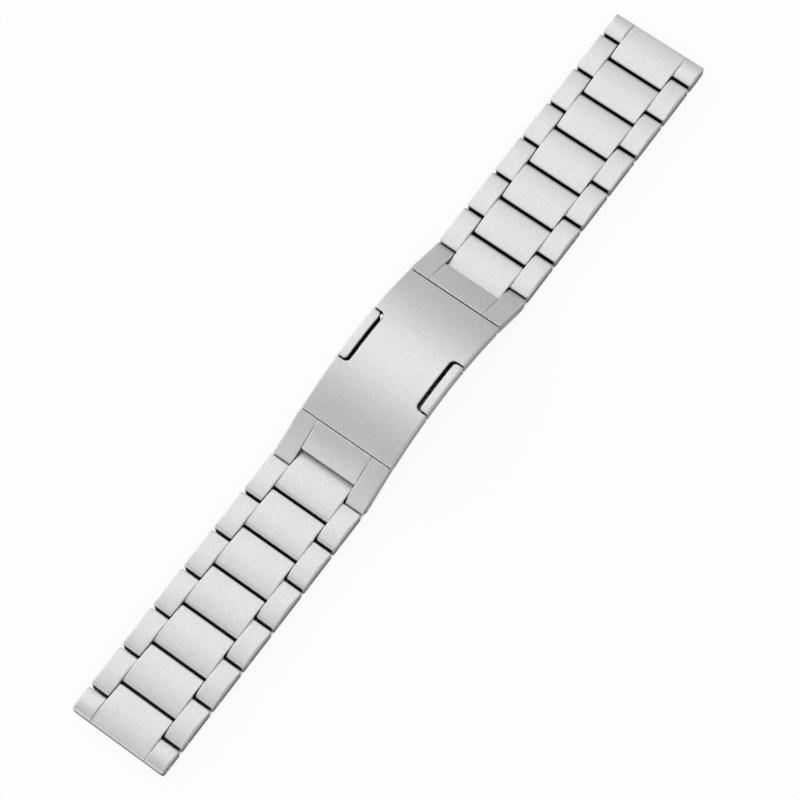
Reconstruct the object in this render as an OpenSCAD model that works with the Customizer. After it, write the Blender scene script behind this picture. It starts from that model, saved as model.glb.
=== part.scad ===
// Titanium watch bracelet with a curved folding clasp, laid out flat.
// X runs across the bracelet, Y along it and Z up from the table.
// The origin is on the table under the middle of the clasp.
// The strand on +Y hangs on the clasp's blades, the strand on -Y on its cover.

/* [Bracelet] */
// Width of the bracelet
band_w = 22; // [20:0.5:26]
// Thickness of a link
link_t = 3.2; // [3:0.1:3.8]
// Width of an outer link piece
side_w = 4.4; // [4:0.1:5.2]
// Distance from one link pin to the next
pitch = 9.75; // [9:0.25:12]
// Full links in each strand
full_links = 6; // [3:1:6]
// Overlap of a centre piece with the outer pieces of the link before it
centre_lead = 4.03; // [3.8:0.01:4.4]
// Gap between one link and the next
joint_gap = 0.5; // [0.4:0.05:0.6]
// Gap between a centre piece and the outer pieces beside it
seam_gap = 0.03; // [0.02:0.01:0.05]
// Extra gap there over the outer pieces of the link before, which turn beside it
turn_gap = 0.12; // [0.05:0.01:0.15]

/* [Link shape] */
// Least rounding of the link ends, seen from the side
end_round = 0.19; // [0.12:0.01:0.25]
// Rounding of a link's upper edge at its end away from the clasp
far_round = 0.9; // [0.6:0.1:1.1]
// Clearance of a link's end from the next link as it turns
swing_gap = 0.06; // [0.04:0.01:0.08]
// Rise of a link's top in the middle of its length
crown_rise = 0.4; // [0.3:0.01:0.45]
// Rounding of the bracelet's long upper edges
edge_round = 0.35; // [0.3:0.05:0.7]
// Rounding of the bracelet's long lower edges
foot_round = 0.35; // [0.2:0.05:0.5]
// Chamfer of the edges along a seam
seam_chamfer = 0.17; // [0.08:0.01:0.22]
// Rounding of an outer piece's corners, seen from above
corner_round = 0.5; // [0.3:0.1:0.9]
// Taper of an outer piece's free end, on its inner side
side_taper = 0.15; // [0.05:0.05:0.2]
// Length of that taper
taper_len = 2.4; // [1.5:0.1:2.6]
// Rounding of a centre piece's free corners, seen from above
centre_round = 0.4; // [0.2:0.1:0.6]

/* [Pins] */
// Diameter of the link pins
pin_d = 1.2; // [1:0.05:1.3]
// Gap round a pin in its bore
pin_clear = 0.05; // [0.02:0.01:0.08]
// Depth of a pin's end below the side of the bracelet
pin_recess = 0.3; // [0.2:0.05:0.5]
// Chamfer on a pin's ends
pin_chamfer = 0.15; // [0.05:0.05:0.25]
// Diameter of the spigots that hold an outer piece on its centre piece
spigot_d = 1.4; // [1.2:0.1:1.6]
// Length of a spigot inside the outer piece
spigot_len = 1.5; // [1:0.1:2]
// Gap between two pieces that are fixed together
fixed_gap = 0.02; // [0.01:0.01:0.05]

/* [End links] */
// Distance from the last link pin to the end of the bracelet
end_reach = 7.63; // [7.2:0.01:9]
// Diameter of the bore for the watch's spring bar
bar_bore_d = 1.9; // [1.5:0.1:2]
// Distance from the spring bar to the end of the bracelet
bar_inset = 1.6; // [1.4:0.1:2]
// Rounding of the end edge
nose_round = 0.6; // [0.3:0.1:0.8]

/* [Clasp links] */
// Distance from a clasp link's pin to the clasp cover
clasp_link_len = 9.4; // [9.2:0.1:11]
// Slope of a clasp link, which the cover's end follows
clasp_link_tilt = 28; // [26:0.5:28]
// Rise of a clasp link's top in the middle of its length
clasp_link_crown = 0.25; // [0.1:0.01:0.3]
// Rounding of a clasp link's upper edge over its pin
clasp_end_round = 0.35; // [0.3:0.01:0.5]
// Extra gap between a clasp link and the first full link
clasp_end_gap = 0.1; // [0.1:0.01:0.2]
// Extra gap between its centre piece and that link's
clasp_centre_gap = 0.3; // [0.1:0.05:0.4]
// Distance from a clasp link's end to the pin of the outer blade
blade_pin_inset = 2.4; // [2.3:0.05:2.8]
// Drop of that pin below the middle of the link
blade_pin_drop = 0.15; // [0.1:0.01:0.25]

/* [Cover] */
// Length of the clasp cover
cover_len = 36.8; // [34:0.2:42]
// Height of the cover's middle over its ends
cover_rise = 4; // [3.4:0.1:4.4]
// Depth of the cover at its sides
cover_depth = 3; // [2.9:0.1:3.1]
// Thickness of the cover's roof
roof_t = 1.3; // [1.1:0.05:1.4]
// Thickness of the cover's side walls
skirt_t = 1.4; // [1.2:0.1:1.6]
// Gap between the cover and a clasp link
cover_seam = 0.12; // [0.1:0.01:0.3]
// Depth of the cover's hinge pins
hinge_depth = 2.1; // [2.05:0.05:2.2]
// Distance from the cover's ends to its hinge pins
hinge_inset = 1.9; // [1.8:0.05:2]
// Chamfer round the top of the cover's ends
cover_chamfer = 0.2; // [0.1:0.05:0.3]

/* [Buttons] */
// Length of a push button
button_len = 12.1; // [11:0.1:12.6]
// Gap at the ends of a button
button_gap = 0.3; // [0.2:0.05:0.4]
// Depth of a button's recess into the cover's side
recess_w = 2.8; // [2.7:0.05:2.9]
// Travel of a button
button_travel = 0.6; // [0.55:0.05:0.65]
// Gap left behind a button that is pressed in
press_gap = 0.2; // [0.2:0.05:0.25]
// Rounding of a recess's inner corners
recess_round = 1.1; // [0.9:0.1:1.3]

/* [Latch] */
// Half width of the latch housing
housing_half_w = 8; // [7.9:0.05:8.05]
// Length of the latch housing
housing_len = 10.8; // [10.4:0.1:11.4]
// Depth of the latch housing's underside
housing_depth = 3.05; // [3:0.05:3.1]
// Depth of the top of the latch arms
arm_depth = 2.05; // [2:0.05:2.1]
// Thickness of the latch arms
arm_t = 0.6; // [0.5:0.05:0.6]
// Gap above, below and beside the latch arms
arm_clear = 0.1; // [0.05:0.01:0.12]
// Width of a latch arm
arm_w = 1.4; // [1.2:0.1:1.6]
// Radius of the latch post's head
post_head_r = 1.7; // [1.6:0.05:1.8]
// Radius of the latch post's neck
post_neck_r = 1.05; // [0.9:0.05:1.1]
// Radius of the latch post's tail in the outer blade
post_tail_r = 0.8; // [0.7:0.05:0.9]
// Reach of a latch hook under the head
hook_bite = 0.35; // [0.25:0.05:0.4]
// Distance of a hook's end from the middle of the post
hook_y = 0.15; // [0.1:0.05:0.3]
// Width of a hook
hook_w = 1.6; // [1.2:0.1:1.8]
// Width of the shoulder that stops a button's arm in the housing
shoulder_w = 0.8; // [0.6:0.1:1]
// Gap between the latch post's head and an arm
post_gap = 0.5; // [0.4:0.1:0.6]
// Thickness of the latch post's head
post_head_t = 0.45; // [0.4:0.05:0.5]
// Gap round the latch post's head in the housing
head_room = 0.4; // [0.3:0.05:0.5]
// Gap between the head and a hook under it
hook_gap = 0.07; // [0.05:0.01:0.1]
// Thickness of the latch housing's walls
housing_wall = 0.95; // [0.8:0.05:1]
// Wire diameter of the button springs
wire_d = 0.2; // [0.15:0.01:0.24]
// Outer diameter of the button springs
spring_d = 1.3; // [1.1:0.05:1.35]
// Distance from the middle of the clasp to a button spring
spring_y = 1.2; // [1:0.1:1.3]
// Depth of a button spring's seat in the housing
spring_seat = 1.7; // [1.4:0.1:2]
// Turns of a button spring
spring_turns = 6; // [4:1:8]
// Steps in one turn of a button spring
spring_steps = 8; // [8:1:12]
// Sides of a button spring's wire
wire_sides = 6; // [6:1:8]

/* [Blades] */
// Thickness of the blades
blade_t = 0.9; // [0.8:0.05:0.95]
// Depth of the inner blade's top
inner_depth = 3.35; // [3.3:0.05:3.4]
// Gap between the two blades
blade_gap = 0.3; // [0.25:0.05:0.35]
// Width of the inner blade
inner_blade_w = 18.4; // [17.6:0.1:18.6]
// Width of the outer blade
outer_blade_w = 17.2; // [16:0.1:17.6]
// Width of the outer blade's narrow end
lever_w = 9; // [8:0.5:10]
// Radius of the inner blade's window round the latch post
window_r = 2.6; // [2.4:0.1:3]
// Radius of the eyes on the cover's hinge pins
cover_eye_r = 1.3; // [1.2:0.05:1.35]
// Thickness of the tongue that reaches under the cover to its hinge pin
tongue_t = 1.1; // [0.9:0.05:1.2]
// Radius of the knuckles between the two blades
knuckle_r = 1.05; // [1:0.05:1.1]
// Diameter of the pin between the two blades
fold_pin_d = 1; // [0.8:0.1:1.1]
// Width of the outer blade's knuckle
knuckle_w = 8; // [6:0.5:10]
// Radius of the outer blade's eye in its clasp link
lever_eye_r = 1.1; // [1:0.05:1.15]
// Gap round the eyes and knuckles
eye_clear = 0.2; // [0.15:0.01:0.22]
// Angle from the cover's middle to the fold pin, round the cover's centre
fold_angle = 19; // [18:0.5:19.5]

/* [Hidden] */
$fn = 48;
round_steps = 5;
// Lengths that only reach past what they cut
long_cut = 200;
over = 1;

titanium = [0.80, 0.79, 0.78];
satin = [0.74, 0.73, 0.72];
steel = [0.66, 0.66, 0.67];

half_w = band_w / 2;
half_t = link_t / 2;
centre_half_w = half_w - side_w - seam_gap;
bore_r = pin_d / 2 + pin_clear;
pin_len = band_w - 2 * pin_recess;

// From a link pin to the end that turns about it, and to the face that it meets
end_fore = (centre_lead - joint_gap) / 2;
face_off = (centre_lead + joint_gap) / 2;
clasp_end_fore = end_fore - clasp_end_gap;

// Rounding with which a corner at the height h over the pin turns clear of that face
function swing_round(h) = let (
    reach = face_off - swing_gap,
    b = end_fore + h - reach)
    max(end_round, b - sqrt(b * b - end_fore * end_fore - h * h + reach * reach));
top_round = swing_round(half_t - crown_rise);
foot_end_round = swing_round(half_t);
spigot_u = pitch / 2;
end_spigot_u = (face_off + end_reach - bar_inset - bar_bore_d / 2) / 2;
clasp_spigot_u = -clasp_link_len / 2;

// The clasp's arch: its cover is an arc over the two sloping clasp links
cover_end_y = cover_len / 2;
cover_end_z = half_t + clasp_link_len * sin(clasp_link_tilt) + half_t * cos(clasp_link_tilt);
first_pin_y = cover_end_y + cover_seam + clasp_link_len * cos(clasp_link_tilt)
    - half_t * sin(clasp_link_tilt);
cover_r = (pow(cover_end_y, 2) + pow(cover_rise, 2)) / (2 * cover_rise);
cover_top_z = cover_end_z + cover_rise;
arc_z = cover_top_z - cover_r;
end_angle = asin(cover_end_y / cover_r);
hinge_angle = end_angle - hinge_inset / cover_r * 180 / PI;

function on_arc(depth, angle) =
    [(cover_r - depth) * sin(angle), arc_z + (cover_r - depth) * cos(angle)];

hinge = on_arc(hinge_depth, hinge_angle);
cover_corner = [cover_end_y, cover_end_z];
link_corner = cover_corner + [cover_seam, 0];
fold_depth = inner_depth + blade_t + blade_gap / 2;
fold = on_arc(fold_depth, -fold_angle);
outer_depth = inner_depth + blade_t + blade_gap;
outer_mid = outer_depth + blade_t / 2;

// A clasp link's own frame has its origin at its link pin and slopes with it
function clasp_local(p) = let (d = p - [first_pin_y, half_t])
    [d[0] * cos(clasp_link_tilt) - d[1] * sin(clasp_link_tilt),
     d[0] * sin(clasp_link_tilt) + d[1] * cos(clasp_link_tilt)];
function clasp_world(q) = [first_pin_y, half_t]
    + [q[0] * cos(clasp_link_tilt) + q[1] * sin(clasp_link_tilt),
       -q[0] * sin(clasp_link_tilt) + q[1] * cos(clasp_link_tilt)];
hinge_local = clasp_local(hinge);
corner_local = clasp_local(link_corner);
blade_pin_local = [blade_pin_inset - clasp_link_len, -blade_pin_drop];
blade_pin = clasp_world(blade_pin_local);
sweep_r = norm(link_corner - hinge);
skirt_end_r = hinge_inset - seam_gap;

// The outer blade's lever bends round the cover's hinge, clear of the cover's end
lever_r = norm(blade_pin - hinge) - lever_eye_r;
hinge_r = cover_r - hinge_depth;
mid_r = cover_r - outer_mid;
bend_angle = hinge_angle - acos((pow(hinge_r, 2) + pow(mid_r, 2)
    - pow(lever_r + blade_t / 2, 2)) / (2 * hinge_r * mid_r));
bend = on_arc(outer_mid, bend_angle);

// The latch, with depths below the cover's top at its middle
button_inner_x = half_w - recess_w + button_travel + press_gap;
recess_len = button_len + 2 * button_gap;
arm_top_z = cover_top_z - arm_depth;
arm_y = post_head_r + post_gap;
cavity_floor_z = arm_top_z - arm_t - arm_clear;
cavity_half_w = housing_half_w - housing_wall;
cavity_half_len = housing_len / 2 - housing_wall;
hook_x = post_head_r - hook_bite;
spring_z = cover_top_z - (roof_t + fixed_gap + housing_depth) / 2;
spring_seat_x = cavity_half_w - spring_seat;

SIDES = ["blade_side", "cover_side"];
PARTS = ["sides", "centre", "pin"];

// Points along an arc, from angle a to angle b
function arc_points(c, r, a, b) =
    [for (i = [0:round_steps]) let (t = a + (b - a) * i / round_steps)
        [c[0] + r * cos(t), c[1] + r * sin(t)]];

// Extrudes a side profile (Y, Z) across the bracelet, from x0 to x1
module across(x0, x1) {
    translate([x0, 0, 0]) rotate([90, 0, 90]) linear_extrude(x1 - x0) children();
}

// Extrudes a cross-section (X, Z) along the bracelet
module along() {
    translate([0, long_cut / 2, 0]) rotate([90, 0, 0]) linear_extrude(long_cut) children();
}

// Sweeps a cross-section (radius, X) round the cover's centre, from angle a to b
module around(a, b) {
    translate([0, 0, arc_z])
        rotate([-a, 0, 0])
            rotate([0, -90, 0])
                rotate_extrude(angle = b - a, $fn = 360) children();
}

// A cylinder across the bracelet at the point p of its side view
module rod(p, r, x0, x1) {
    translate([x0, p[0], p[1]]) rotate([0, 90, 0]) cylinder(r = r, h = x1 - x0);
}

module both_sides() {
    children();
    mirror([1, 0, 0]) children();
}

// Puts a child on the strand of the blades (+Y) or of the cover (-Y)
module on_strand(s) {
    if (s == SIDES[0]) children();
    else mirror([0, 1, 0]) children();
}

module at_pin(i) {
    translate([0, first_pin_y + i * pitch, half_t]) children();
}

module at_clasp_link() {
    at_pin(0) rotate([-clasp_link_tilt, 0, 0]) children();
}

// A straight strip of thickness t between two points of a side view
module strip(p, q, t) {
    n = [p[1] - q[1], q[0] - p[0]] / norm(q - p) * t / 2;
    polygon([p - n, q - n, q + n, p + n]);
}

// The part of an arc band between two depths below the cover's top
module arc_band(depth0, depth1, a, b) {
    intersection() {
        translate([0, arc_z]) difference() {
            circle(r = cover_r - depth0, $fn = 360);
            circle(r = cover_r - depth1, $fn = 360);
        }
        polygon([[0, arc_z], on_arc(-cover_r, a), on_arc(-cover_r, b)]);
    }
}

// A link's top is a shallow arc, which fillets of radius r join to its ends
function crown_r(len, rise) = (len * len / 4 + rise * rise) / (2 * rise);
function fillet_lean(r, len, rise) = asin((len / 2 - r) / (crown_r(len, rise) - r));
function fillet_drop(r, len, rise) = let (big = crown_r(len, rise))
    rise - big + (big - r) * cos(fillet_lean(r, len, rise));
function near_fillet(u, h, r, len, rise) =
    arc_points([u + r, h + fillet_drop(r, len, rise)], r, 90 + fillet_lean(r, len, rise), 180);
function far_fillet(u, h, r, len, rise) =
    arc_points([u - r, h + fillet_drop(r, len, rise)], r, 0, 90 - fillet_lean(r, len, rise));

// That arc over the height h from u0 to u1, between fillets of radius r0 and r1
module crown(u0, u1, h, rise, r0, r1) {
    len = u1 - u0;
    cut0 = r0 * (1 - sin(fillet_lean(r0, len, rise)));
    cut1 = r1 * (1 - sin(fillet_lean(r1, len, rise)));
    intersection() {
        translate([(u0 + u1) / 2, h + rise - crown_r(len, rise)])
            circle(r = crown_r(len, rise), $fn = 360);
        translate([u0 + cut0, 0]) square([len - cut0 - cut1, link_t]);
    }
}

// A link piece seen from the side, in its own frame
module bar_profile(u0, u1, far_r, far_foot_r) {
    h = half_t - crown_rise;
    len = u1 - u0;
    polygon(concat(
        arc_points([u0 + foot_end_round, foot_end_round - half_t], foot_end_round, 180, 270),
        arc_points([u1 - far_foot_r, far_foot_r - half_t], far_foot_r, 270, 360),
        far_fillet(u1, h, far_r, len, crown_rise),
        near_fillet(u0, h, top_round, len, crown_rise)));
    crown(u0, u1, h, crown_rise, top_round, far_r);
}

// A clasp link piece seen from the side, given the points of its lower far end.
// On the blades' side its end is hollow about the cover's pin, which it swings round
module clasp_profile(s, far, far_foot) {
    lean = clasp_link_tilt - end_angle;
    len = far + clasp_link_len;
    difference() {
        union() {
            polygon(concat(
                [corner_local, corner_local + link_t * [tan(lean), -1]],
                far_foot,
                far_fillet(far, half_t, clasp_end_round, len, clasp_link_crown)));
            crown(-clasp_link_len, far, half_t, clasp_link_crown, 0, clasp_end_round);
        }
        if (s == SIDES[0]) translate(hinge_local) circle(r = sweep_r);
        polygon([corner_local, corner_local + link_t * [-tan(lean), 1],
            [-long_cut, link_t], [-long_cut, -link_t],
            corner_local + link_t * [tan(lean), -1]]);
    }
}

// Cross-section of the right outer pieces, round on the outside
module side_section() {
    x0 = half_w - side_w;
    c = seam_chamfer;
    polygon(concat(
        [[x0, c - half_t], [x0 + c, -half_t]],
        arc_points([half_w - foot_round, foot_round - half_t], foot_round, 270, 360),
        arc_points([half_w - edge_round, half_t - edge_round], edge_round, 0, 90),
        [[x0 + c, half_t], [x0, half_t - c]]));
}

module centre_section() {
    w = centre_half_w;
    c = seam_chamfer;
    polygon([[-w, c - half_t], [c - w, -half_t], [w - c, -half_t], [w, c - half_t],
        [w, half_t - c], [w - c, half_t], [c - w, half_t], [-w, half_t - c]]);
}

// Outline of the right outer piece from above, with the corner at its inner far end
module side_plan(u0, u1, inner_corner) {
    r = corner_round;
    translate([0, 0, -long_cut / 2]) linear_extrude(long_cut)
        polygon(concat(
            [[0, u0]],
            arc_points([half_w - r, u0 + r], r, 270, 360),
            arc_points([half_w - r, u1 - r], r, 0, 90),
            inner_corner));
}

function free_corner(u1) = let (
    r = corner_round,
    x0 = half_w - side_w,
    end = u1 - r - 2 * taper_len)
    concat(arc_points([x0 + side_taper + r, u1 - r], r, 90, 180),
        [[x0 - side_taper, end], [0, end]]);

// Outline of a centre piece from above, narrow and round at the end that turns
module centre_plan(u0, u1) {
    w = centre_half_w - turn_gap;
    wide = half_w;
    r = centre_round;
    step = centre_lead / 2;
    translate([0, 0, -long_cut / 2]) linear_extrude(long_cut)
        polygon(concat(
            arc_points([r - w, u0 + r], r, 180, 270),
            arc_points([w - r, u0 + r], r, 270, 360),
            [[w, step], [wide, step], [wide, u1 + over], [-wide, u1 + over],
             [-wide, step], [-w, step]]));
}

module pin_bore(u = 0, h = 0, r = bore_r) {
    rod([u, h], r, -half_w - over, half_w + over);
}

// A blind hole in the right outer piece for its centre piece's spigot
module spigot_hole(u) {
    rod([u, 0], spigot_d / 2 + fixed_gap, 0, half_w - side_w + spigot_len + seam_gap);
}

module spigots(u) {
    both_sides() rod([u, 0], spigot_d / 2, centre_half_w - over, half_w - side_w + spigot_len);
}

module link_sides() {
    color(titanium) both_sides() difference() {
        intersection() {
            across(0, half_w)
                bar_profile(face_off, pitch + end_fore, far_round, foot_end_round);
            along() side_section();
            side_plan(face_off, pitch + end_fore, free_corner(pitch + end_fore));
        }
        pin_bore(pitch);
        spigot_hole(spigot_u);
    }
}

module link_centre() {
    color(titanium) difference() {
        intersection() {
            across(-centre_half_w, centre_half_w)
                bar_profile(-end_fore, pitch - face_off, far_round, foot_end_round);
            along() centre_section();
            centre_plan(-end_fore, pitch - face_off);
        }
        pin_bore();
    }
    color(titanium) spigots(spigot_u);
}

// The last link, with the bore for the watch's spring bar
module end_link_sides() {
    color(titanium) both_sides() difference() {
        intersection() {
            across(0, half_w) bar_profile(face_off, end_reach, nose_round, nose_round);
            along() side_section();
            side_plan(face_off, end_reach, [[0, end_reach]]);
        }
        pin_bore(end_reach - bar_inset, 0, bar_bore_d / 2);
        spigot_hole(end_spigot_u);
    }
}

module end_link_centre() {
    color(titanium) difference() {
        intersection() {
            across(-centre_half_w, centre_half_w)
                bar_profile(-end_fore, end_reach, nose_round, nose_round);
            along() centre_section();
            centre_plan(-end_fore, end_reach);
        }
        pin_bore();
        pin_bore(end_reach - bar_inset, 0, bar_bore_d / 2);
    }
    color(titanium) spigots(end_spigot_u);
}

// The clasp link's frame has its far pin at the origin, so its piece lies at u < 0
module clasp_link_sides(s) {
    foot_angle = acos(half_t / clasp_end_fore);
    color(titanium) both_sides() difference() {
        intersection() {
            across(0, half_w) {
                clasp_profile(s, clasp_end_fore,
                    [[0, -half_t], half_t * [cos(foot_angle), -sin(foot_angle)],
                     [clasp_end_fore, 0]]);
                circle(r = half_t);
            }
            along() translate([0, clasp_link_crown]) side_section();
            side_plan(-clasp_link_len, clasp_end_fore, free_corner(clasp_end_fore));
        }
        pin_bore();
        spigot_hole(clasp_spigot_u);
        if (s == SIDES[0]) pin_bore(blade_pin_local[0], blade_pin_local[1]);
    }
}

module clasp_link_centre(s) {
    room = lever_eye_r + eye_clear;
    far = -face_off - clasp_centre_gap;
    color(titanium) difference() {
        intersection() {
            across(-centre_half_w, centre_half_w) clasp_profile(s, far,
                arc_points([far - end_round, end_round - half_t], end_round, 270, 360));
            along() translate([0, clasp_link_crown]) centre_section();
        }
        if (s == SIDES[0]) {
            pin_bore(blade_pin_local[0], blade_pin_local[1]);
            across(-lever_w / 2 - eye_clear, lever_w / 2 + eye_clear) {
                translate(blade_pin_local) circle(r = room);
                translate([blade_pin_local[0] - long_cut, blade_pin_local[1] - long_cut])
                    square([long_cut + blade_t, long_cut]);
                translate([blade_pin_local[0] - long_cut, blade_pin_local[1] - long_cut])
                    square([long_cut, long_cut + room]);
            }
        }
    }
    color(titanium) spigots(clasp_spigot_u);
    if (s == SIDES[1]) cover_tongue();
}

// The tongue that reaches under the cover to its hinge pin
module cover_tongue() {
    root = [tongue_t - clasp_link_len, -tongue_t / 2];
    w = centre_half_w - seam_gap;
    color(titanium) difference() {
        across(-w, w) {
            translate(hinge_local) circle(r = cover_eye_r);
            strip(hinge_local, root, tongue_t);
        }
        pin_bore(hinge_local[0], hinge_local[1]);
    }
}

module pin(len, d) {
    r = d / 2;
    c = pin_chamfer;
    color(steel) rotate([0, 90, 0]) translate([0, 0, -len / 2]) rotate_extrude()
        polygon([[0, 0], [r - c, 0], [r, c], [r, len - c], [r - c, len], [0, len]]);
}

module pin_at(p, len, d) {
    translate([0, p[0], p[1]]) pin(len, d);
}

// The cover: a curved roof with side walls, cut away for the buttons
module cover() {
    eye_room = inner_blade_w / 2 + eye_clear;
    color(titanium) difference() {
        around(-end_angle, end_angle) cover_section();
        for (s = SIDES) on_strand(s) {
            rod(hinge, bore_r, -half_w - over, half_w + over);
            rod(hinge, cover_eye_r + eye_clear, -eye_room, eye_room);
            across(-half_w - over, half_w + over) skirt_end_cut();
            across(-half_w - over, half_w + over) cover_end_chamfer();
        }
        both_sides() recess(recess_len, half_w - recess_w, recess_round);
    }
}

// Cross-section of the cover, as radius and X
module cover_section() {
    skirt_x = half_w - skirt_t;
    r = edge_round;
    bottom = cover_r - cover_depth;
    top = cover_r;
    right = concat(
        arc_points([top - r, half_w - r], r, 0, 90),
        [[bottom + seam_chamfer, half_w], [bottom, half_w - seam_chamfer],
         [bottom, skirt_x], [top - roof_t, skirt_x]]);
    left = [for (i = [len(right) - 1:-1:0]) [right[i][0], -right[i][1]]];
    polygon(concat(right, left));
}

// Rounds the lower corner of a side wall about the hinge pin
module skirt_end_cut() {
    reach = 2 * hinge_inset;
    translate(hinge) rotate(-hinge_angle) difference() {
        translate([0, -reach]) square([reach, reach]);
        circle(r = skirt_end_r);
    }
}

module cover_end_chamfer() {
    translate(cover_corner) rotate(-end_angle)
        polygon([[-cover_chamfer, over], [-cover_chamfer, 0], [0, -cover_chamfer],
            [over, -cover_chamfer], [over, over]]);
}

// A button's recess, open on the right side of the cover
module recess(len, x0, r) {
    linear_extrude(long_cut) polygon(concat(
        arc_points([x0 + r, r - len / 2], r, 180, 270),
        [[half_w + over, -len / 2], [half_w + over, len / 2]],
        arc_points([x0 + r, len / 2 - r], r, 90, 180)));
}

// The right button: its bar, its arm past the post and the hook at the arm's end
module button() {
    a = end_angle / 2;
    color(titanium) intersection() {
        around(-a, a) button_section();
        recess(button_len, button_inner_x, recess_round - button_gap);
    }
    color(titanium) translate([0, 0, arm_top_z - arm_t]) linear_extrude(arm_t) {
        translate([-hook_x - hook_w, arm_y])
            square([button_inner_x + hook_x + hook_w + arm_clear, arm_w]);
        translate([-hook_x - hook_w, hook_y]) square([hook_w, arm_y]);
        translate([cavity_half_w - shoulder_w - seam_gap, arm_y])
            square([shoulder_w, cavity_half_len - arm_y - arm_clear]);
    }
}

module button_section() {
    r = edge_round;
    bottom = cover_r - cover_depth;
    mirror([0, 1]) polygon(concat(
        [[bottom, button_inner_x - over], [cover_r, button_inner_x - over]],
        arc_points([cover_r - r, half_w - r], r, 0, 90),
        [[bottom + seam_chamfer, half_w], [bottom, half_w - seam_chamfer]]));
}

// The housing under the roof that guides the buttons and seats their springs
module latch_housing() {
    slot_w = arm_w + 2 * arm_clear;
    slot_h = arm_t + 2 * arm_clear;
    color(satin) difference() {
        across(-housing_half_w, housing_half_w) intersection() {
            arc_band(roof_t + fixed_gap, housing_depth, -end_angle, end_angle);
            translate([-housing_len / 2, 0]) square([housing_len, long_cut]);
        }
        translate([-cavity_half_w, -cavity_half_len, cavity_floor_z])
            cube([2 * cavity_half_w, 2 * cavity_half_len, slot_h]);
        for (turn = [0, 180]) rotate(turn) {
            translate([0, arm_y - arm_clear, cavity_floor_z]) cube([half_w, slot_w, slot_h]);
            rod([-spring_y, spring_z], spring_d / 2 + arm_clear, spring_seat_x, half_w);
        }
        cylinder(r = post_head_r + head_room, h = long_cut);
    }
}

// Centre line of a button spring, with flat end turns
function helix(k) = let (
    t = k * spring_turns,
    x0 = spring_seat_x + wire_d / 2,
    x1 = button_inner_x - wire_d / 2,
    m = (spring_d - wire_d) / 2)
    [x0 + (x1 - x0) * k, m * cos(360 * t) - spring_y, m * sin(360 * t) + spring_z];

// The right button's spring
module button_spring() {
    rings = spring_turns * spring_steps;
    sides = wire_sides;
    r = wire_d / 2;
    points = [for (i = [0:rings], j = [0:sides - 1]) let (
        turn = 360 * i / spring_steps,
        a = 360 * j / sides)
        helix(i / rings) + r * [sin(a), cos(a) * cos(turn), cos(a) * sin(turn)]];
    faces = concat(
        [[for (j = [0:sides - 1]) j]],
        [[for (j = [0:sides - 1]) rings * sides + sides - 1 - j]],
        [for (i = [0:rings - 1], j = [0:sides - 1], h = [0, 1]) let (
            a = i * sides + j,
            b = i * sides + (j + 1) % sides)
            h == 0 ? [a, a + sides, b] : [b, a + sides, b + sides]]);
    color(steel) polyhedron(points, faces);
}

// The inner blade, hinged to the cover at +Y and to the outer blade at -Y
module inner_blade() {
    w = inner_blade_w / 2;
    k = knuckle_w / 2 + eye_clear;
    plate_end = hinge_angle - cover_eye_r / cover_r * 180 / PI;
    plate_foot = on_arc(inner_depth + blade_t / 2, plate_end);
    color(satin) difference() {
        across(-w, w) {
            arc_band(inner_depth, inner_depth + blade_t, -fold_angle, plate_end);
            translate(hinge) circle(r = cover_eye_r);
            translate(fold) circle(r = knuckle_r);
            strip(hinge, plate_foot, blade_t);
            translate(plate_foot) circle(r = blade_t / 2);
        }
        rod(hinge, bore_r, -half_w, half_w);
        rod(fold, fold_pin_d / 2 + pin_clear, -half_w, half_w);
        rod(fold, knuckle_r + eye_clear, -k, k);
        translate([0, 0, fold[1]]) cylinder(r = window_r, h = long_cut);
    }
}

// The outer blade, folded under the inner one, with its lever up to the clasp link
module outer_blade() {
    w = outer_blade_w / 2;
    k = knuckle_w / 2;
    from_hinge = bend - hinge;
    to_pin = blade_pin - hinge;
    a0 = atan2(from_hinge[1], from_hinge[0]);
    a1 = atan2(to_pin[1], to_pin[0]);
    color(satin) difference() {
        union() {
            across(-w, w) arc_band(outer_depth, outer_depth + blade_t, -fold_angle, fold_angle);
            across(-k, k) translate(fold) circle(r = knuckle_r);
            across(-lever_w / 2, lever_w / 2) {
                arc_band(outer_depth, outer_depth + blade_t, 0, bend_angle);
                translate(bend) circle(r = blade_t / 2);
                intersection() {
                    translate(hinge) difference() {
                        circle(r = lever_r + blade_t);
                        circle(r = lever_r);
                    }
                    polygon(concat([hinge], arc_points(hinge, long_cut, a0, a1)));
                }
                translate(blade_pin) circle(r = lever_eye_r);
            }
        }
        rod(fold, fold_pin_d / 2 + pin_clear, -half_w, half_w);
        rod(blade_pin, bore_r, -half_w, half_w);
        both_sides() rod(fold, knuckle_r + eye_clear, k, half_w);
        cylinder(r = post_tail_r + fixed_gap, h = long_cut);
    }
}

// The post on the outer blade that the two hooks hold by its head
module latch_post() {
    tail_z = cover_top_z - outer_depth - blade_t;
    neck_z = cover_top_z - outer_depth;
    head_z = arm_top_z + hook_gap;
    chamfer_z = head_z + post_head_t / 2;
    top_z = head_z + post_head_t;
    color(steel) rotate_extrude() polygon([[0, tail_z], [post_tail_r, tail_z],
        [post_tail_r, neck_z], [post_neck_r, neck_z], [post_neck_r, head_z],
        [post_head_r, head_z], [post_head_r, chamfer_z],
        [post_head_r - post_head_t / 2, top_z], [0, top_z]]);
}

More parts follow.
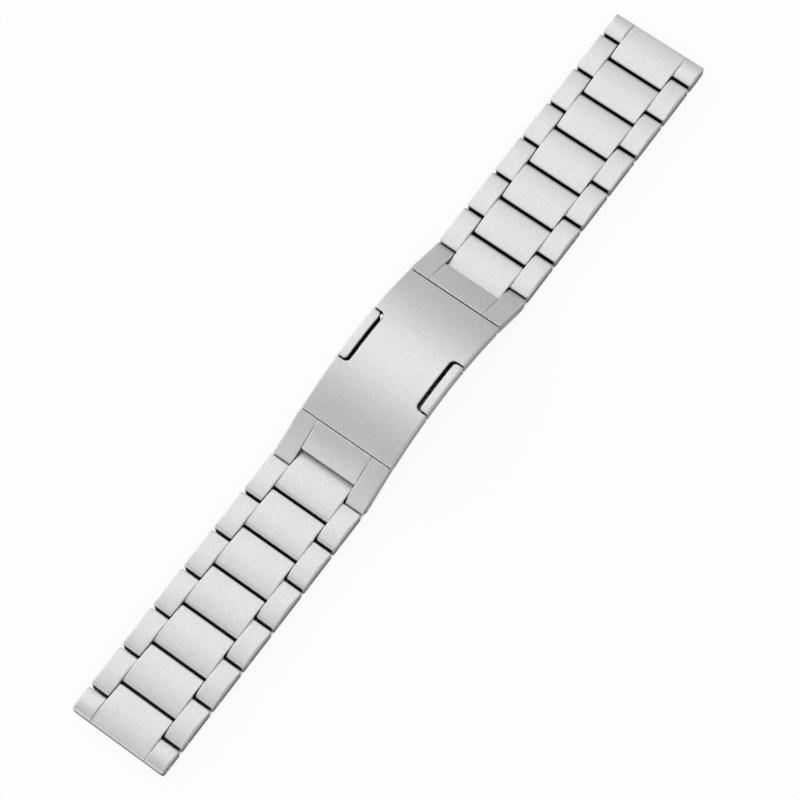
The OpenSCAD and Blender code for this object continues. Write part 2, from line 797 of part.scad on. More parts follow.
cover();
latch_housing();
button();  // button_right
rotate(180) button();  // button_left
button_spring();  // button_spring_right
rotate(180) button_spring();  // button_spring_left
inner_blade();
outer_blade();
latch_post();
pin_at(hinge, pin_len, pin_d);  // inner_blade_pin
mirror([0, 1, 0]) pin_at(hinge, pin_len, pin_d);  // cover_link_pin
pin_at(fold, outer_blade_w, fold_pin_d);  // blade_fold_pin
pin_at(blade_pin, pin_len, pin_d);  // outer_blade_pin

for (s = SIDES) {
    on_strand(s) at_clasp_link() clasp_link_sides(s);
    on_strand(s) at_clasp_link() clasp_link_centre(s);
    on_strand(s) at_pin(0) pin(pin_len, pin_d);
    for (i = [1:full_links]) {
        on_strand(s) at_pin(i - 1) link_sides();
        on_strand(s) at_pin(i - 1) link_centre();
        on_strand(s) at_pin(i) pin(pin_len, pin_d);
    }
    on_strand(s) at_pin(full_links) end_link_sides();
    on_strand(s) at_pin(full_links) end_link_centre();
}
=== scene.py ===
"""Dresses the titanium watch bracelet: rounded clasp pieces, metals, studio and camera."""
import math

import bmesh
import bpy
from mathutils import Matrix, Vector


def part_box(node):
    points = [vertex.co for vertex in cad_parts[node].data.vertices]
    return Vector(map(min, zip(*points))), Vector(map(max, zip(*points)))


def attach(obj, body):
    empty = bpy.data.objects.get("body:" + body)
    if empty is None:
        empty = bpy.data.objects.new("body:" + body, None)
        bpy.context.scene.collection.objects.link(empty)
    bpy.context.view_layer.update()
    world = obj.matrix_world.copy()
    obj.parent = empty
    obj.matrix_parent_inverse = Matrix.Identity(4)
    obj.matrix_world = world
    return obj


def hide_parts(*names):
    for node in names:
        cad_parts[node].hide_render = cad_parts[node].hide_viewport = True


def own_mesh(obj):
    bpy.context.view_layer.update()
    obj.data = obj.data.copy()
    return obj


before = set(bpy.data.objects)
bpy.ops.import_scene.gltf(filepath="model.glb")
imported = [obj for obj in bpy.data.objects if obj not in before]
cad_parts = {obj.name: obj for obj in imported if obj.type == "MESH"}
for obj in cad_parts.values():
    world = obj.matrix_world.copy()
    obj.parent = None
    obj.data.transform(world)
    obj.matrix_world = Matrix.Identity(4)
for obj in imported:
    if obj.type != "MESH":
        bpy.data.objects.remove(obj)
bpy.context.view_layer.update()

MM = 0.001
QUARTER_TURN = math.radians(90)
HALF_TURN = math.radians(180)

# The photograph was taken from above the lower right, with a long lens. Turns are in degrees
CAMERA_PLACE = Vector((122.2, -155.4, 529.1)) * MM
CAMERA_TURN = (20.07, 0.785, 36.14)
CAMERA_LENS = 126.4
CAMERA_SENSOR = 36
CAMERA_NEAREST = 10 * MM

# The clasp cover is an arc, cut away at the sides for the buttons
COVER_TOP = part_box("cover")[1]
HALF_W = COVER_TOP[0]
HALF_LEN = 18.4 * MM
COVER_RISE = 4 * MM
ARC_R = (HALF_LEN ** 2 + COVER_RISE ** 2) / (2 * COVER_RISE)
ARC_Z = COVER_TOP[2] - ARC_R
END_ANGLE = math.asin(HALF_LEN / ARC_R)
COVER_DEPTH = 3 * MM
ROOF = 1.3 * MM
SKIRT = 1.4 * MM
RECESS_X = HALF_W - 2.8 * MM
RECESS_HALF_LEN = 6.35 * MM
RECESS_ROUND = 1.1 * MM
BUTTON_GAP = 0.3 * MM
LONG_EDGE_ROUND = 0.35 * MM
LOWER_CHAMFER = 0.17 * MM
RIM_ROUND = 0.2 * MM

# Fineness of the curved shapes, in sides and steps
COVER_STEPS = 24
BUTTON_STEPS = 12
LONG_EDGE_STEPS = 5
END_RIM_STEPS = 2
RIM_STEPS = 3
RECESS_STEPS = 6
ROD_SIDES = 48

# How corners, edges and faces are told apart
SLACK = 0.01 * MM
END_SLACK = 0.05 * MM
SKIN_DEPTH = 0.5 * MM
FLAT_ANGLE = math.radians(1)
SHARP_ANGLE = math.radians(35)
UPRIGHT_WITHIN = 0.05
TOP_SLOPE = 0.2
SIDE_SLOPE = 0.9

# The hinge pins of the cover's ends, which it holds in eyes
HINGE_DEPTH = 2.1 * MM
HINGE_INSET = 1.9 * MM
HINGE_ANGLE = END_ANGLE - HINGE_INSET / ARC_R
PIN_BORE_R = 0.65 * MM
EYE_ROOM_R = 1.5 * MM
EYE_ROOM_HALF_W = 9.4 * MM
EYE_OUTSIDE_R = 1.87 * MM

# The latch arms and hooks of the buttons
ARM_TOP = COVER_TOP[2] - 2.05 * MM
ARM_T = 0.6 * MM
ARM_Y = (2.2 * MM, 3.6 * MM)
HOOK_X = (-2.95 * MM, -1.35 * MM)
HOOK_Y = 0.15 * MM
SHOULDER_X = (6.22 * MM, 7.02 * MM)
SHOULDER_Y = 4.35 * MM

# The coils under the buttons
COIL_SEAT, COIL_TIP = (Vector(corner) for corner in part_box("button_spring_right"))
COIL_TURNS = 6
COIL_STEPS = 16
WIRE_R = 0.1 * MM
WIRE_SIDES = 12

# Linear tones of the metals, and of the painted shade of outer walls and of gaps and hollows
TITANIUM_TONE = (0.785, 0.763, 0.765)
PIT_TONE = (0.625, 0.605, 0.608)
SATIN_SHADE = (0.680, 0.660, 0.663)
PAINTED_SIDE_SHADE = (0.330, 0.320, 0.320)
PAINTED_SHADE_TONE = (0.022, 0.021, 0.020)
SATIN_TONE = (0.640, 0.626, 0.618)
STEEL_TONE = (0.560, 0.555, 0.550)

# Grain of the metals, in cells per metre, and how deep it lies
BLASTED_GRAIN = 4200.0
BLASTED_PITS = 1500.0
BLASTED_CLOUDS = 130.0
BLASTED_DEPTH = 0.006 * MM
SATIN_LINES = (5200.0, 90.0, 5200.0)
SATIN_CLOUDS = 90.0
SATIN_DEPTH = 0.004 * MM
TURNED_RINGS = (9000.0, 300.0, 300.0)
TURNED_DEPTH = 0.003 * MM

# Shares of the pits in the tone and in the relief of the blasted metal
PITS_IN_TONE = 0.8
PITS_IN_RELIEF = 0.6

# Roughness of each metal, and what its grain and its clouds add
BLASTED_ROUGHNESS = (0.36, 0.12, 0.06)
SATIN_ROUGHNESS = (0.24, 0.16)
TURNED_ROUGHNESS = (0.18, 0.14)

# Reach of the softness of machined edges, in their shine and in the painted shade of upright
# walls
EDGE_SOFTNESS = 0.42 * MM
WALL_SOFTNESS = 0.25 * MM
EDGE_SAMPLES = 6

# Spans of slope over which upright walls and the ends of pins come into painted shade
UPRIGHT_WALLS = (0.10, 0.60)
HOUSING_WALLS = (0.2, 0.7)
PIN_ENDS = (0.2, 0.5)

# Spans of place over which the painted shade of the links comes and goes
OUTER_SIDES_X = (10.4 * MM, 10.8 * MM)
OUTER_ENDS_Y = (91.0 * MM, 91.5 * MM)
LINK_INSIDE_Z = ((0.5 * MM, 0.8 * MM), (1.7 * MM, 2.1 * MM))
LINK_RIM_Z = ((2.3 * MM, 2.7 * MM), (3.3 * MM, 3.6 * MM))
LINK_FOOT_Z = (0.3 * MM, 3.0 * MM)

# Spans of place for the painted shade under the buttons: of arms, springs and the housing
ARM_SHADE_Z = ((8.5 * MM, 8.7 * MM), (9.5 * MM, 9.6 * MM))
ARM_SHADE_Y = (6.1 * MM, 6.3 * MM)
BUTTON_SHADE_X = (7.4 * MM, 7.8 * MM)
SPRING_SHADE_Z = (8.0 * MM, 8.3 * MM)
HOUSING_SHADE_Z = (7.9 * MM, 8.1 * MM)

# How much of the painted joint shade the rims of the links are spared, how much painted shade the
# outer walls get, and what their foot adds
RIM_KEEPS = 0.8
WALL_SHADE = 0.15
FOOT_SHADE = 0.55

# White paper, and the share of plain white that is seen in it where nothing covers it
PAPER_SIZE = 4
PAPER_LEVEL = -0.2 * MM
PAPER_TONE = (0.95, 0.95, 0.95)
PAPER_GLOW = 0.92
COVERED_WITHIN = 6 * MM
OPEN_TO_SKY = (0.32, 0.47)
SKY_SAMPLES = 8

# The softbox overhead
SOFTBOX_PLACE = (-0.16, 0.20, 0.70)
SOFTBOX_SIZE = (0.50, 0.50)
SOFTBOX_POWER = 0.45

# Light of the room: an even part, and what each side of the room adds or takes
EVEN_LIGHT = 0.455
CEILING_LIGHT = 0.475
HORIZON_LIGHT = 0.36
FAR_LOSS = 0.5
WEST_LIGHT = 1.00
SOUTH_LIGHT = 0.32
EAST_LOSS = 0.20
NORTH_GAIN = 0.04
NEAR_LOSS = 0.08

# Where in the room each side begins and is full, by how squarely one looks that way
OVERHEAD = (-0.213, 0.270, 0.939)
CEILING = (0.76, 1.0)
HORIZON = (0.40, 0.68)
FAR_WALL = (0.78, 0.96)
WEST_WALL = (0.55, 0.90)
NEAR_FLOOR = (0.05, 0.45)
SOUTH_WALL = (0.54, 0.76)


class Value:
    """A shader socket that can stand in a sum or a product."""

    def __init__(self, finish, socket):
        self.finish = finish
        self.socket = socket

    def maths(self, operation, first, second):
        return self.finish.node("ShaderNodeMath", {"operation": operation}, {0: first, 1: second})

    def __add__(self, other):
        return self.maths("ADD", self, other)

    def __radd__(self, other):
        return self.maths("ADD", other, self)

    def __sub__(self, other):
        return self.maths("SUBTRACT", self, other)

    def __rsub__(self, other):
        return self.maths("SUBTRACT", other, self)

    def __mul__(self, other):
        return self.maths("MULTIPLY", self, other)

    def __rmul__(self, other):
        return self.maths("MULTIPLY", other, self)

    def __abs__(self):
        return self.maths("ABSOLUTE", self, 0.0)

    def or_more(self, other):
        return self.maths("MAXIMUM", self, other)


class Finish:
    """A material, or the world, and the nodes that make it."""

    def __init__(self, owner):
        self.owner = owner
        owner.use_nodes = True
        self.tree = owner.node_tree
        self.tree.nodes.clear()

    def node(self, kind, settings=None, sockets=None, out=0):
        made = self.tree.nodes.new(kind)
        for key, setting in (settings or {}).items():
            setattr(made, key, setting)
        for key, value in (sockets or {}).items():
            if isinstance(value, Value):
                self.tree.links.new(value.socket, made.inputs[key])
            else:
                made.inputs[key].default_value = value
        return Value(self, made.outputs[out] if made.outputs else None)

    def place(self):
        return self.node("ShaderNodeTexCoord", out="Object")

    def distance(self, axis):
        """Distance from the middle of the clasp along X, Y or Z."""
        return abs(self.node("ShaderNodeSeparateXYZ", {}, {0: self.place()}, out=axis))

    def soft_edges(self, reach):
        """Normals that turn softly over the edges of a piece."""
        return self.node("ShaderNodeBevel", {"samples": EDGE_SAMPLES}, {"Radius": reach})

    def slope(self, axis):
        """How squarely a surface faces along X, Y or Z, from 0 to 1."""
        turns = {"vector_type": "NORMAL", "convert_from": "WORLD", "convert_to": "OBJECT"}
        normal = self.node("ShaderNodeVectorTransform", turns,
                           {0: self.soft_edges(WALL_SOFTNESS)})
        return abs(self.node("ShaderNodeSeparateXYZ", {}, {0: normal}, out=axis))

    def stretched(self, scale):
        return self.node("ShaderNodeMapping", {}, {"Vector": self.place(), "Scale": scale})

    def noise(self, vector, scale, detail=2.0):
        return self.node("ShaderNodeTexNoise", {},
                         {"Vector": vector, "Scale": scale, "Detail": detail})

    def facing(self, direction):
        """How far the view of the room points in a direction, from -1 to 1."""
        view = self.node("ShaderNodeTexCoord", out="Generated")
        return self.node("ShaderNodeVectorMath", {"operation": "DOT_PRODUCT"},
                         {0: view, 1: direction}, out="Value")

    def smooth_step(self, value, span):
        """Rises from 0 to 1 while a value passes through a span."""
        return self.node("ShaderNodeMapRange", {"interpolation_type": "SMOOTHSTEP"},
                         {0: value, 1: span[0], 2: span[1]})

    def band(self, value, spans):
        """Rises over the first of two spans and falls over the second."""
        return self.smooth_step(value, spans[0]) - self.smooth_step(value, spans[1])

    def between(self, amount, low, high):
        """Mixes two tones."""
        ends = {6: low if isinstance(low, Value) else (*low, 1),
                7: high if isinstance(high, Value) else (*high, 1)}
        return self.node("ShaderNodeMix", {"data_type": "RGBA"}, {0: amount, **ends}, out=2)


def metal(finish, tone, roughness, relief, depth, shade):
    """A metal of a tone and a roughness, its relief's depth, and its share of painted deep shade.
    """
    normal = finish.node("ShaderNodeBump", {},
                         {"Height": relief, "Distance": depth, "Strength": 1.0,
                          "Normal": finish.soft_edges(EDGE_SOFTNESS)})
    surface = finish.node("ShaderNodeBsdfPrincipled", {},
                          {"Base Color": tone, "Metallic": 1.0, "Roughness": roughness,
                           "Normal": normal})
    # Painted shade: a near-black matt surface, mixed in where the mask says, stands in for the
    # shadow in gaps and hollows
    painted_shade_bsdf = finish.node("ShaderNodeBsdfPrincipled", {},
                       {"Base Color": (*PAINTED_SHADE_TONE, 1), "Roughness": 1.0,
                        "Specular IOR Level": 0.0})
    shaded = finish.node("ShaderNodeMixShader", {}, {0: shade, 1: surface, 2: painted_shade_bsdf})
    finish.node("ShaderNodeOutputMaterial", {}, {"Surface": shaded})
    return finish.owner


def blasted_titanium():
    """Bead-blasted titanium: an even fine grain with faint cloudy tones, painted shade in the
    gaps and under the buttons, and painted darker outer walls.
    """
    finish = Finish(bpy.data.materials.new("blasted_titanium"))
    grain = finish.noise(finish.place(), BLASTED_GRAIN, 3.0)
    pits = finish.noise(finish.place(), BLASTED_PITS)
    cloud = finish.noise(finish.place(), BLASTED_CLOUDS)
    mottle = cloud * (1 - PITS_IN_TONE) + pits * PITS_IN_TONE
    top = finish.between(mottle, PIT_TONE, TITANIUM_TONE)
    # Painted shade: upright walls, the insides of the links and the arms under the buttons are
    # mixed towards near-black, for the shadow between parts
    upright = 1 - finish.smooth_step(finish.slope("Z"), UPRIGHT_WALLS)
    outside = finish.smooth_step(finish.distance("X"), OUTER_SIDES_X).or_more(
        finish.smooth_step(finish.distance("Y"), OUTER_ENDS_Y))
    height = finish.distance("Z")
    within = finish.band(height, LINK_INSIDE_Z)
    arms = finish.band(height, ARM_SHADE_Z)
    arms = arms * finish.smooth_step(finish.distance("X"), BUTTON_SHADE_X)
    arms = arms * (1 - finish.smooth_step(finish.distance("Y"), ARM_SHADE_Y))
    rim = finish.band(height, LINK_RIM_Z)
    joint_painted_shade = upright.or_more(within).or_more(arms) * (1 - outside) * (1 - rim * RIM_KEEPS)
    # Painted shade: the outer walls take a dark tone, and more near-black towards their foot, for
    # their shadow and the shadowed paper they reflect
    wall = upright * outside
    tone = finish.between(wall, top, PAINTED_SIDE_SHADE)
    foot = 1 - finish.smooth_step(height, LINK_FOOT_Z)
    shade = joint_painted_shade.or_more(wall * (WALL_SHADE + foot * FOOT_SHADE))
    base, by_grain, by_cloud = BLASTED_ROUGHNESS
    rough = base + grain * by_grain + cloud * by_cloud
    relief = grain + pits * PITS_IN_RELIEF
    return metal(finish, tone, rough, relief, BLASTED_DEPTH, shade)


def satin_blade():
    """Satin strip: fine lines along the blades, and painted deep shade on the housing's sides."""
    finish = Finish(bpy.data.materials.new("satin_blade"))
    lines = finish.noise(finish.stretched(SATIN_LINES), 1.0, 3.0)
    cloud = finish.noise(finish.place(), SATIN_CLOUDS)
    tone = finish.between(lines * 0.5 + cloud * 0.5, SATIN_TONE, SATIN_SHADE)
    # Painted shade: the upright sides of the housing are mixed towards near-black, for the shadow
    # in the button slots
    housing = finish.smooth_step(finish.distance("Z"), HOUSING_SHADE_Z)
    shade = housing * (1 - finish.smooth_step(finish.slope("Z"), HOUSING_WALLS))
    base, by_lines = SATIN_ROUGHNESS
    rough = base + lines * by_lines
    return metal(finish, tone, rough, lines, SATIN_DEPTH, shade)


def turned_steel():
    """Steel wire and pins: fine rings left by turning, and painted deep shade at their ends."""
    finish = Finish(bpy.data.materials.new("turned_steel"))
    rings = finish.noise(finish.stretched(TURNED_RINGS), 1.0)
    tone = finish.between(rings, STEEL_TONE, SATIN_TONE)
    # Painted shade: the ends of the pins and of the springs under the buttons are mixed towards
    # near-black, for the shadow in bores and slots
    pin_end = finish.smooth_step(finish.slope("X"), PIN_ENDS)
    spring_end = (finish.smooth_step(finish.distance("Z"), SPRING_SHADE_Z)
                  * finish.smooth_step(finish.distance("X"), BUTTON_SHADE_X))
    shade = pin_end.or_more(spring_end)
    base, by_rings = TURNED_ROUGHNESS
    rough = base + rings * by_rings
    return metal(finish, tone, rough, rings, TURNED_DEPTH, shade)


FINISHES = {
    "titanium": blasted_titanium(),
    "clasp_inside": satin_blade(),
    "steel": turned_steel(),
}


def finish_nodes():
    """Gives each CAD node the finish of its material slot."""
    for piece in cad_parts.values():
        slot = piece.data.materials[0].name.split(".")[0]
        piece.data.materials[0] = FINISHES[slot]


finish_nodes()


def leave_only(piece):
    """Leaves one piece selected and active."""
    bpy.ops.object.select_all(action="DESELECT")
    piece.select_set(True)
    bpy.context.view_layer.objects.active = piece


def settle(piece):
    """Puts a piece's place, turn and scale into its mesh, and leaves it active."""
    leave_only(piece)
    bpy.ops.object.transform_apply(location=True, rotation=True, scale=True)


def named(name):
    """Names and settles the primitive that was just added."""
    piece = bpy.context.object
    piece.name = name
    settle(piece)
    return piece


def bar(name, low, high):
    """A straight-sided bar between two opposite corners."""
    low, high = Vector(low), Vector(high)
    bpy.ops.mesh.primitive_cube_add(size=1, location=(low + high) / 2, scale=high - low)
    return named(name)


def rod(name, y, z, radius, half_length):
    """A round rod across the bracelet."""
    bpy.ops.mesh.primitive_cylinder_add(vertices=ROD_SIDES, radius=radius,
                                        depth=2 * half_length, location=(0, y, z),
                                        rotation=(0, QUARTER_TURN, 0))
    return named(name)


def join_solids(piece, tool, operation):
    """Cuts, adds or keeps what two solids share, and takes the tool away."""
    leave_only(piece)
    shaping = piece.modifiers.new("shaping", "BOOLEAN")
    shaping.operation = operation
    shaping.solver = "EXACT"
    shaping.object = tool
    bpy.ops.object.modifier_apply(modifier=shaping.name)
    bpy.data.objects.remove(tool)


def pick(piece, kind, wanted):
    """Selects the vertices, edges or faces that a test wants, in edit mode."""
    bpy.ops.mesh.select_mode(type={"verts": "VERT", "edges": "EDGE", "faces": "FACE"}[kind])
    bpy.ops.mesh.select_all(action="DESELECT")
    sculpt = bmesh.from_edit_mesh(piece.data)
    for element in getattr(sculpt, kind):
        if wanted(element):
            element.select_set(True)
    bmesh.update_edit_mesh(piece.data)


def bevel_corners(piece, wanted, reach, steps):
    pick(piece, "verts", wanted)
    bpy.ops.mesh.bevel(offset=reach, segments=steps, affect="VERTICES", clamp_overlap=False)


def bevel_edges(piece, wanted, reach, steps):
    pick(piece, "edges", wanted)
    bpy.ops.mesh.bevel(offset=reach, segments=steps, affect="EDGES", clamp_overlap=False)


def section_plate(name, x0, x1):
    """The cover's section between two X, as a flat plate at the top of its arc."""
    place = ((x0 + x1) / 2, 0, ARC_R - COVER_DEPTH / 2)
    bpy.ops.mesh.primitive_plane_add(size=1, location=place, rotation=(QUARTER_TURN, 0, 0))
    bpy.context.object.scale = (x1 - x0, COVER_DEPTH, 1)
    return named(name)


def soften_section(piece):
    """Rounds the upper outer corners of a section and chamfers the lower ones."""
    top, foot = ARC_R - SLACK, ARC_R - COVER_DEPTH + SLACK
    side = HALF_W - SLACK
    bevel_corners(piece, lambda v: abs(v.co.x) > side and v.co.z > top,
                  LONG_EDGE_ROUND, LONG_EDGE_STEPS)
    bevel_corners(piece, lambda v: abs(v.co.x) > side and v.co.z < foot,
                  LOWER_CHAMFER, steps=1)


def sweep_section(piece, half_angle, steps):
    """Sweeps a section along the cover's arc and closes both ends."""
    bpy.ops.mesh.select_all(action="SELECT")
    bpy.ops.mesh.delete(type="ONLY_FACE")
    bpy.ops.object.mode_set(mode="OBJECT")
    piece.rotation_euler.x = half_angle
    settle(piece)
    bpy.ops.object.mode_set(mode="EDIT")
    bpy.ops.mesh.select_all(action="SELECT")
    bpy.ops.mesh.spin(steps=steps, angle=2 * half_angle, center=(0, 0, 0), axis=(1, 0, 0))
    for end in (-1, 1):
        pick(piece, "edges", lambda e: e.is_boundary and (e.verts[0].co.y > 0) == (end > 0))
        bpy.ops.mesh.edge_face_add()
    bpy.ops.mesh.select_all(action="SELECT")
    bpy.ops.mesh.normals_make_consistent(inside=False)


def lift_to_clasp(piece):
    """Moves a swept piece, made about the centre of the arc, to its place in the clasp."""
    bpy.ops.object.mode_set(mode="OBJECT")
    piece.location.z = ARC_Z
    settle(piece)


def recess_block(name, x0, half_len, corner):
    """The space of a button's recess: seen from above, a bar with two rounded corners."""
    block = bar(name, (x0, -half_len, -ROOF), (2 * HALF_W, half_len, 2 * COVER_TOP[2]))
    bpy.ops.object.mode_set(mode="EDIT")
    bevel_edges(block, lambda e: all(v.co.x < x0 + SLACK for v in e.verts)
                and abs(e.verts[0].co.y - e.verts[1].co.y) < SLACK, corner, RECESS_STEPS)
    bpy.ops.object.mode_set(mode="OBJECT")
    return block


def round_rims(piece, x0, half_len):
    """Rounds the edges where walls cut straight down meet the top and the outer side."""
    def cut_wall(face):
        place = face.calc_center_median()
        return (abs(face.normal.z) < UPRIGHT_WITHIN
                and x0 - SLACK < abs(place.x) < HALF_W - SLACK
                and abs(place.y) < half_len + SLACK)

    def rim(edge):
        if len(edge.link_faces) != 2:
            return False
        first, second = edge.link_faces
        skin = second if cut_wall(first) else first
        if cut_wall(first) == cut_wall(second):
            return False
        place = skin.calc_center_median()
        height = math.hypot(place.y, place.z - ARC_Z)
        on_top = skin.normal.z > TOP_SLOPE and height > ARC_R - SKIN_DEPTH
        return on_top or abs(skin.normal.x) > SIDE_SLOPE

    leave_only(piece)
    bpy.ops.object.mode_set(mode="EDIT")
    bevel_edges(piece, rim, RIM_ROUND, RIM_STEPS)
    bpy.ops.object.mode_set(mode="OBJECT")


def finish_piece(piece, node, body, slot="titanium"):
    """Shades a new piece, which then stands for a CAD node and rides on its body."""
    leave_only(piece)
    bpy.ops.object.shade_smooth_by_angle(angle=SHARP_ANGLE)
    levelling = piece.modifiers.new("levelling", "WEIGHTED_NORMAL")
    levelling.keep_sharp = True
    bpy.ops.object.modifier_apply(modifier=levelling.name)
    piece.data.materials.clear()
    piece.data.materials.append(FINISHES[slot])
    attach(piece, body)
    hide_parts(node)


def curved_cover():
    """The clasp cover: a curved roof with side walls, recesses and hinge eyes."""
    cover = section_plate("curved_cover", -HALF_W, HALF_W)
    bpy.ops.object.mode_set(mode="EDIT")
    for x in (SKIRT - HALF_W, HALF_W - SKIRT):
        bpy.ops.mesh.select_all(action="SELECT")
        bpy.ops.mesh.bisect(plane_co=(x, 0, 0), plane_no=(1, 0, 0))
    bpy.ops.mesh.select_all(action="SELECT")
    bpy.ops.mesh.bisect(plane_co=(0, 0, ARC_R - ROOF), plane_no=(0, 0, 1))
    pick(cover, "faces", lambda f: abs(f.calc_center_median().x) < HALF_W - SKIRT
         and f.calc_center_median().z < ARC_R - ROOF)
    bpy.ops.mesh.delete(type="FACE")
    bpy.ops.mesh.select_all(action="SELECT")
    bpy.ops.mesh.dissolve_limited(angle_limit=FLAT_ANGLE)
    soften_section(cover)
    sweep_section(cover, END_ANGLE, COVER_STEPS)
    ends, top = HALF_LEN - END_SLACK, ARC_R - LONG_EDGE_ROUND / 2
    bevel_edges(cover, lambda e: all(abs(v.co.y) > ends and v.co.length > top for v in e.verts),
                RIM_ROUND, END_RIM_STEPS)
    lift_to_clasp(cover)
    for side in (-1, 1):
        block = recess_block("recess", RECESS_X, RECESS_HALF_LEN, RECESS_ROUND)
        block.rotation_euler.z = 0 if side > 0 else HALF_TURN
        settle(block)
        join_solids(cover, block, "DIFFERENCE")
    for end in (-1, 1):
        y = end * (ARC_R - HINGE_DEPTH) * math.sin(HINGE_ANGLE)
        z = ARC_Z + (ARC_R - HINGE_DEPTH) * math.cos(HINGE_ANGLE)
        join_solids(cover, rod("pin_bore", y, z, PIN_BORE_R, 2 * HALF_W), "DIFFERENCE")
        join_solids(cover, rod("eye_room", y, z, EYE_ROOM_R, EYE_ROOM_HALF_W), "DIFFERENCE")
        corner = bar("eye_corner", (-2 * HALF_W, 0, -2 * HINGE_INSET),
                     (2 * HALF_W, 2 * HINGE_INSET, 0))
        join_solids(corner, rod("eye_outside", 0, 0, EYE_OUTSIDE_R, 3 * HALF_W), "DIFFERENCE")
        corner.location = (0, y, z)
        corner.rotation_euler = (-HINGE_ANGLE, 0, 0 if end > 0 else HALF_TURN)
        settle(corner)
        join_solids(cover, corner, "DIFFERENCE")
    round_rims(cover, RECESS_X, RECESS_HALF_LEN)
    finish_piece(cover, "cover", "cover")


def push_button():
    """The right button: a curved bar, and the arm that carries its hook past the post."""
    inner_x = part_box("button_spring_right")[1][0]
    half_len = RECESS_HALF_LEN - BUTTON_GAP
    button = section_plate("push_button_right", inner_x, HALF_W)
    bpy.ops.object.mode_set(mode="EDIT")
    soften_section(button)
    sweep_section(button, END_ANGLE / 2, BUTTON_STEPS)
    lift_to_clasp(button)
    outline = recess_block("outline", inner_x, half_len, RECESS_ROUND - BUTTON_GAP)
    join_solids(button, outline, "INTERSECT")
    round_rims(button, inner_x, half_len)
    arm_foot = ARM_TOP - ARM_T
    arm = bar("arm", (HOOK_X[0], ARM_Y[0], arm_foot), (inner_x + ROOF / 2, ARM_Y[1], ARM_TOP))
    hook = bar("hook", (HOOK_X[0], HOOK_Y, arm_foot),
               (HOOK_X[1], ARM_Y[0] + ROOF / 2, ARM_TOP))
    shoulder = bar("shoulder", (SHOULDER_X[0], ARM_Y[1] - ROOF / 2, arm_foot),
                   (SHOULDER_X[1], SHOULDER_Y, ARM_TOP))
    for limb in (arm, hook, shoulder):
        join_solids(button, limb, "UNION")
    return button


def push_buttons():
    """Both buttons: the left one is the right one, turned half round."""
    right = push_button()
    left = bpy.data.objects.new("push_button_left", right.data.copy())
    bpy.context.collection.objects.link(left)
    left.rotation_euler.z = HALF_TURN
    settle(left)
    finish_piece(right, "button_right", "button_right")
    finish_piece(left, "button_left", "button_left")


def coil_spring(side, turn):
    """A wire wound about X between housing and button."""
    length = COIL_TIP.x - COIL_SEAT.x
    coil_r = (COIL_TIP.y - COIL_SEAT.y) / 2 - WIRE_R
    bpy.ops.mesh.primitive_circle_add(vertices=WIRE_SIDES, radius=WIRE_R,
                                      location=(0, coil_r, 0), rotation=(0, QUARTER_TURN, 0))
    spring = named(f"coil_spring_{side}")
    winding = spring.modifiers.new("winding", "SCREW")
    winding.iterations = COIL_TURNS
    winding.screw_offset = (length - 2 * WIRE_R) / COIL_TURNS
    winding.steps = winding.render_steps = COIL_STEPS
    bpy.ops.object.modifier_apply(modifier=winding.name)
    bpy.ops.object.mode_set(mode="EDIT")
    for low in (True, False):
        pick(spring, "edges", lambda e: e.is_boundary and (e.verts[0].co.z < length / 2) == low)
        bpy.ops.mesh.edge_face_add()
    bpy.ops.mesh.select_all(action="SELECT")
    bpy.ops.mesh.normals_make_consistent(inside=False)
    bpy.ops.object.mode_set(mode="OBJECT")
    spring.rotation_euler.y = QUARTER_TURN
    spring.location = (COIL_SEAT.x + WIRE_R, *((COIL_SEAT + COIL_TIP) / 2).yz)
    settle(spring)
    spring.rotation_euler.z = turn
    settle(spring)
    finish_piece(spring, f"button_spring_{side}", "cover", "steel")
    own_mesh(spring)


curved_cover()
push_buttons()
coil_spring("right", 0)
coil_spring("left", HALF_TURN)


def soft_lamp(name, place, size, power):
    """A soft rectangular lamp that shines from its place towards the clasp."""
    lamp = bpy.data.lights.new(name, "AREA")
    lamp.shape = "RECTANGLE"
    lamp.size, lamp.size_y = size
    lamp.energy = power
    holder = bpy.data.objects.new(name, lamp)
    bpy.context.collection.objects.link(holder)
    holder.location = place
    holder.rotation_euler = (-Vector(place)).to_track_quat("-Z", "Y").to_euler()


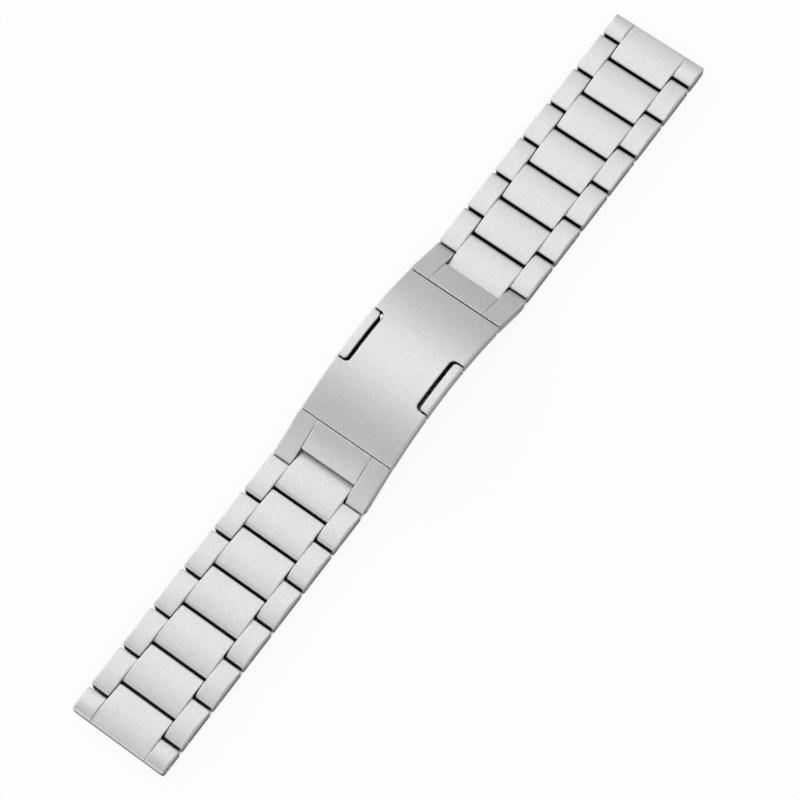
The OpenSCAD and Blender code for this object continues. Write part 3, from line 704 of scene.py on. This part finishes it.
def studio():
    """White paper on a table, a softbox overhead and pale walls, brightest on the left."""
    soft_lamp("softbox", SOFTBOX_PLACE, SOFTBOX_SIZE, SOFTBOX_POWER)

    world = bpy.data.worlds.new("studio")
    bpy.context.scene.world = world
    room = Finish(world)
    east = room.facing((1.0, 0.0, 0.0))
    north = room.facing((0.0, 1.0, 0.0))
    overhead = room.facing(OVERHEAD)
    high = room.smooth_step(overhead, CEILING)
    low = 1 - room.smooth_step(overhead, HORIZON)
    far = room.smooth_step(north, FAR_WALL)
    west = room.smooth_step(0 - east, WEST_WALL)
    near = room.smooth_step(0 - north, NEAR_FLOOR)
    south = room.smooth_step(0 - north, SOUTH_WALL)
    horizon = HORIZON_LIGHT * low * (1 - FAR_LOSS * far)
    walls = (EVEN_LIGHT + CEILING_LIGHT * high + horizon - EAST_LOSS * east + WEST_LIGHT * west
             + NORTH_GAIN * north - NEAR_LOSS * near + SOUTH_LIGHT * south)
    air = room.node("ShaderNodeBackground", {}, {"Color": (1, 1, 1, 1), "Strength": walls})
    room.node("ShaderNodeOutputWorld", {}, {"Surface": air})

    bpy.ops.mesh.primitive_plane_add(size=PAPER_SIZE, location=(0, 0, PAPER_LEVEL))
    floor = named("floor")
    paper = Finish(bpy.data.materials.new("white_paper"))
    seen = paper.node("ShaderNodeLightPath", out="Is Camera Ray")
    shiny = paper.node("ShaderNodeLightPath", out="Is Glossy Ray")
    through = paper.node("ShaderNodeLightPath", out="Is Transmission Ray")
    matt = paper.node("ShaderNodeBsdfDiffuse", {}, {"Color": (*PAPER_TONE, 1)})
    glow = paper.node("ShaderNodeEmission", {}, {"Color": (1, 1, 1, 1), "Strength": 1.0})
    sky = paper.node("ShaderNodeAmbientOcclusion", {"samples": SKY_SAMPLES},
                     {"Distance": COVERED_WITHIN}, out="AO")
    glowing = (seen + shiny + through) * paper.smooth_step(sky, OPEN_TO_SKY) * PAPER_GLOW
    lifted = paper.node("ShaderNodeMixShader", {}, {0: glowing, 1: matt, 2: glow})
    paper.node("ShaderNodeOutputMaterial", {}, {"Surface": lifted})
    floor.data.materials.append(paper.owner)


def camera():
    """The camera that took the photograph, fitted to the corners of the links."""
    eye = bpy.data.cameras.new("camera")
    eye.lens = CAMERA_LENS
    eye.sensor_width = CAMERA_SENSOR
    eye.clip_start = CAMERA_NEAREST
    holder = bpy.data.objects.new("camera", eye)
    bpy.context.collection.objects.link(holder)
    holder.location = CAMERA_PLACE
    holder.rotation_euler = [math.radians(turn) for turn in CAMERA_TURN]
    bpy.context.scene.camera = holder


studio()
camera()
bpy.context.scene.view_settings.view_transform = "Standard"
